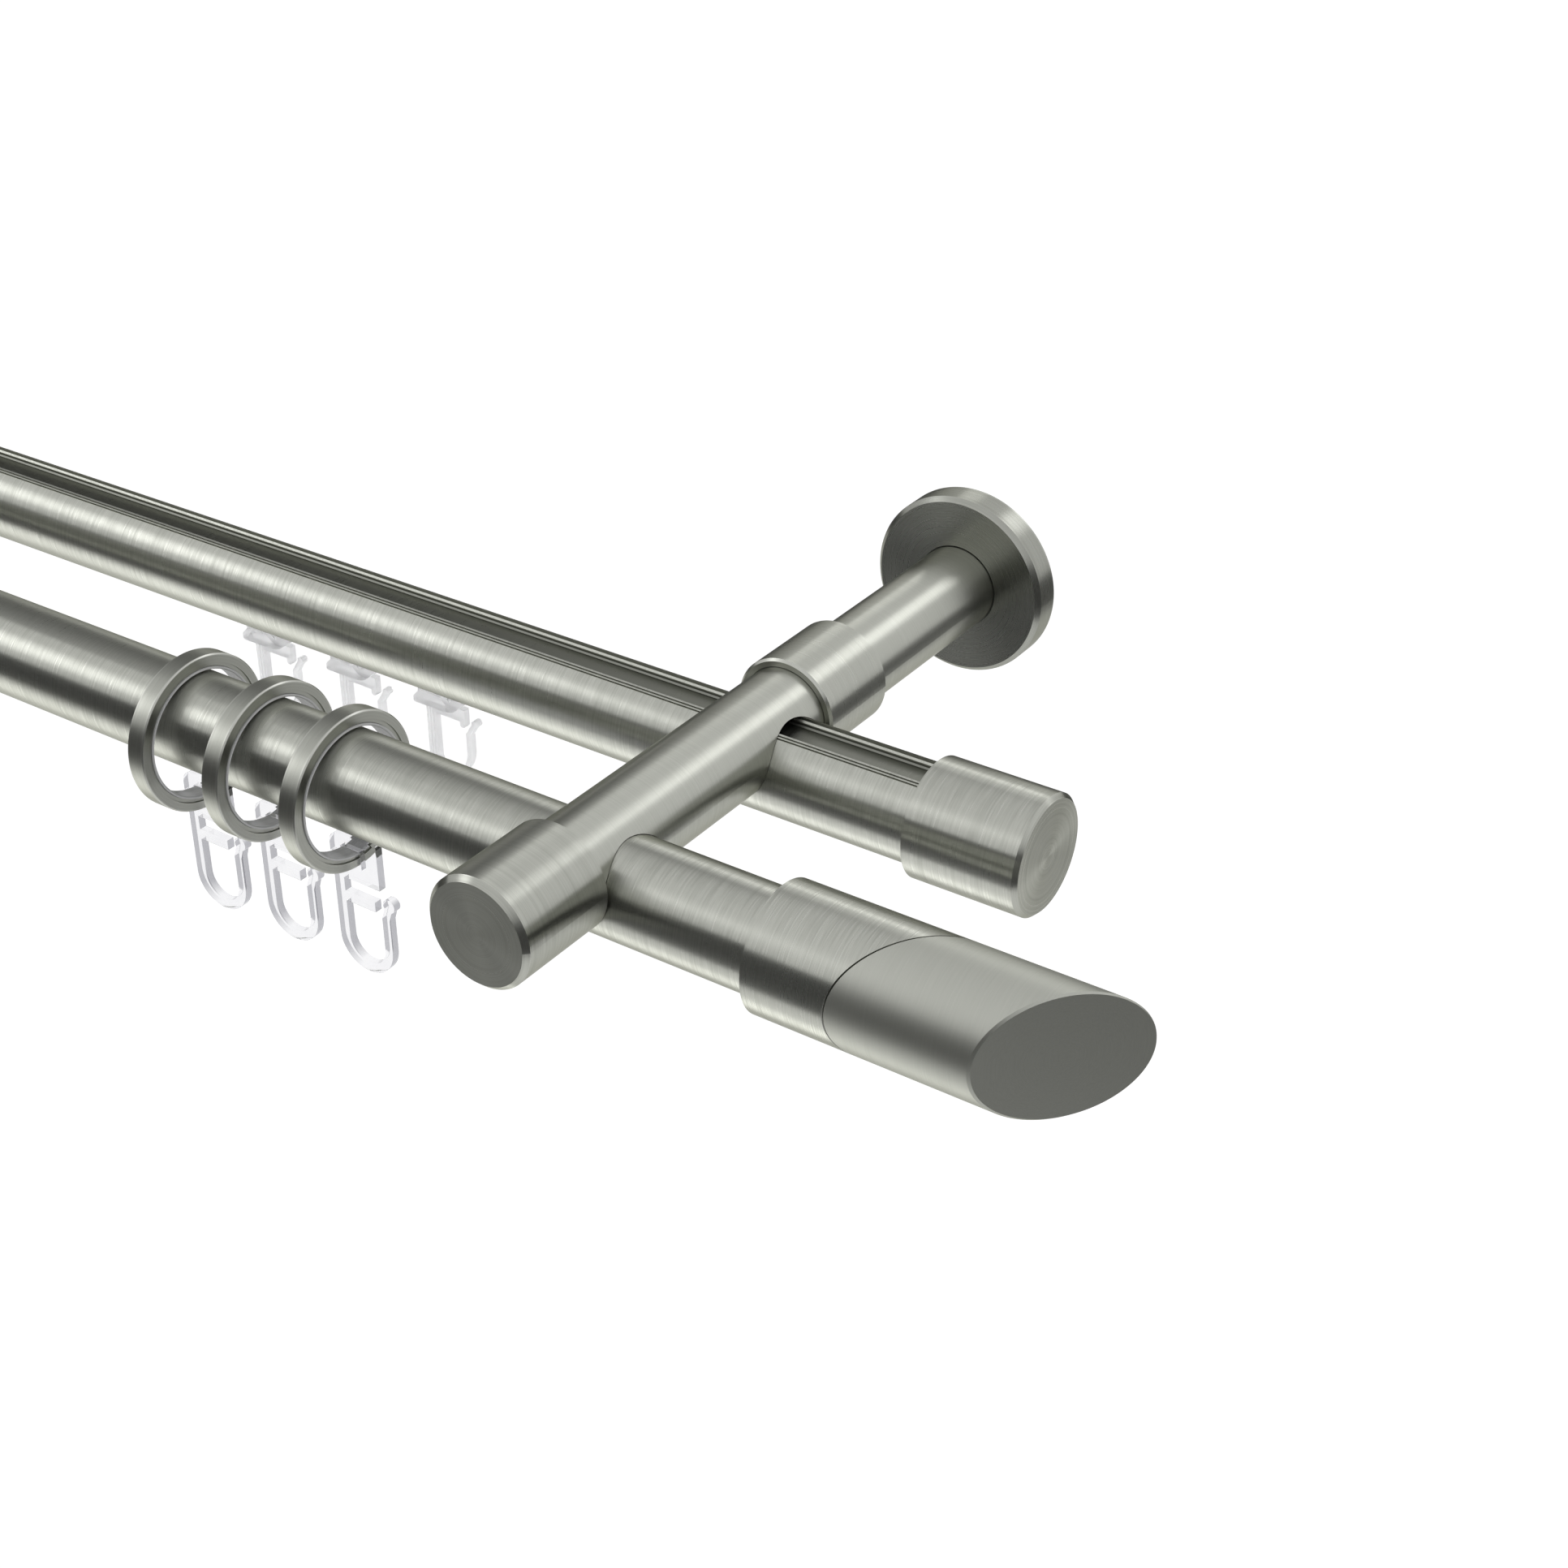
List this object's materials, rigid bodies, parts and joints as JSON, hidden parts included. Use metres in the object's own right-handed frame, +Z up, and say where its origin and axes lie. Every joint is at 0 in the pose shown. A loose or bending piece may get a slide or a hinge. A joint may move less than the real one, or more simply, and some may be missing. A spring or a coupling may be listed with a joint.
{
  "type": "double curtain rod",
  "caption": "Double curtain rod on two wall brackets: front tube with rings and clear hooks, rear rail with gliders, slanted finials and plain end caps.",
  "frame": {"origin": "on the wall, at the middle of the right-hand bracket's back, between its two wall screws", "axes": "+X along the rods towards the right-hand finial, +Y towards the wall, +Z up"},
  "size_m": [0.6116, 0.1646, 0.0692],
  "materials": {
    "rod_steel": "brushed round the rod, satin",
    "track_steel": "brushed round the rod, satin",
    "cap_steel": "brushed round, ends turned",
    "tip_steel": "smooth satin",
    "arm_steel": "smooth satin",
    "rosette_steel": "turned face, satin",
    "ring_steel": "satin",
    "plate_zinc": "zinc plated",
    "screw_steel": "dark, oiled",
    "liner_plastic": "smooth, a little translucent",
    "clear_plastic": "clear, glossy",
    "glider_plastic": "milky, translucent"
  },
  "bodies": {
    "rod_and_brackets": {"right_mount_plate": "plate_zinc", "right_post_screw": "screw_steel", "right_rosette": "rosette_steel", "right_rosette_screw": "screw_steel", "right_post": "arm_steel", "right_collar": "arm_steel", "right_collar_screw": "screw_steel", "right_arm": "arm_steel", "right_rod_clamp_screws": "screw_steel", "right_end_cap": "cap_steel", "right_end_cap_screw": "screw_steel", "right_finial_sleeve": "cap_steel", "right_finial_tip": "tip_steel", "right_finial_screw": "screw_steel", "right_rear_cap": "cap_steel", "right_rear_cap_screw": "screw_steel", "left_mount_plate": "plate_zinc", "left_post_screw": "screw_steel", "left_rosette": "rosette_steel", "left_rosette_screw": "screw_steel", "left_post": "arm_steel", "left_collar": "arm_steel", "left_collar_screw": "screw_steel", "left_arm": "arm_steel", "left_rod_clamp_screws": "screw_steel", "left_end_cap": "cap_steel", "left_end_cap_screw": "screw_steel", "left_finial_sleeve": "cap_steel", "left_finial_tip": "tip_steel", "left_finial_screw": "screw_steel", "left_rear_cap": "cap_steel", "left_rear_cap_screw": "screw_steel", "front_rod": "rod_steel", "rear_track": "track_steel"},
    "ring_with_hook_1": {"ring_1": "ring_steel", "ring_liner_1": "liner_plastic", "ring_hook_1": "clear_plastic"},
    "ring_with_hook_2": {"ring_2": "ring_steel", "ring_liner_2": "liner_plastic", "ring_hook_2": "clear_plastic"},
    "ring_with_hook_3": {"ring_3": "ring_steel", "ring_liner_3": "liner_plastic", "ring_hook_3": "clear_plastic"},
    "glider_body_1": {"glider_1": "glider_plastic"},
    "glider_body_2": {"glider_2": "glider_plastic"},
    "glider_body_3": {"glider_3": "glider_plastic"}
  },
  "joints": [
    {"name": "ring_slide_1", "type": "slide", "parent": "rod_and_brackets", "child": "ring_with_hook_1", "axis": [1, 0, 0], "range_m": [0, 0.045]},
    {"name": "ring_slide_2", "type": "slide", "parent": "rod_and_brackets", "child": "ring_with_hook_2", "axis": [1, 0, 0], "range_m": [-0.0034, 0.0034]},
    {"name": "ring_slide_3", "type": "slide", "parent": "rod_and_brackets", "child": "ring_with_hook_3", "axis": [1, 0, 0], "range_m": [-0.285, 0]},
    {"name": "glider_slide_1", "type": "slide", "parent": "rod_and_brackets", "child": "glider_body_1", "axis": [1, 0, 0], "range_m": [0, 0.11]},
    {"name": "glider_slide_2", "type": "slide", "parent": "rod_and_brackets", "child": "glider_body_2", "axis": [1, 0, 0], "range_m": [-0.008, 0.008]},
    {"name": "glider_slide_3", "type": "slide", "parent": "rod_and_brackets", "child": "glider_body_3", "axis": [1, 0, 0], "range_m": [-0.3, 0]}
  ]
}
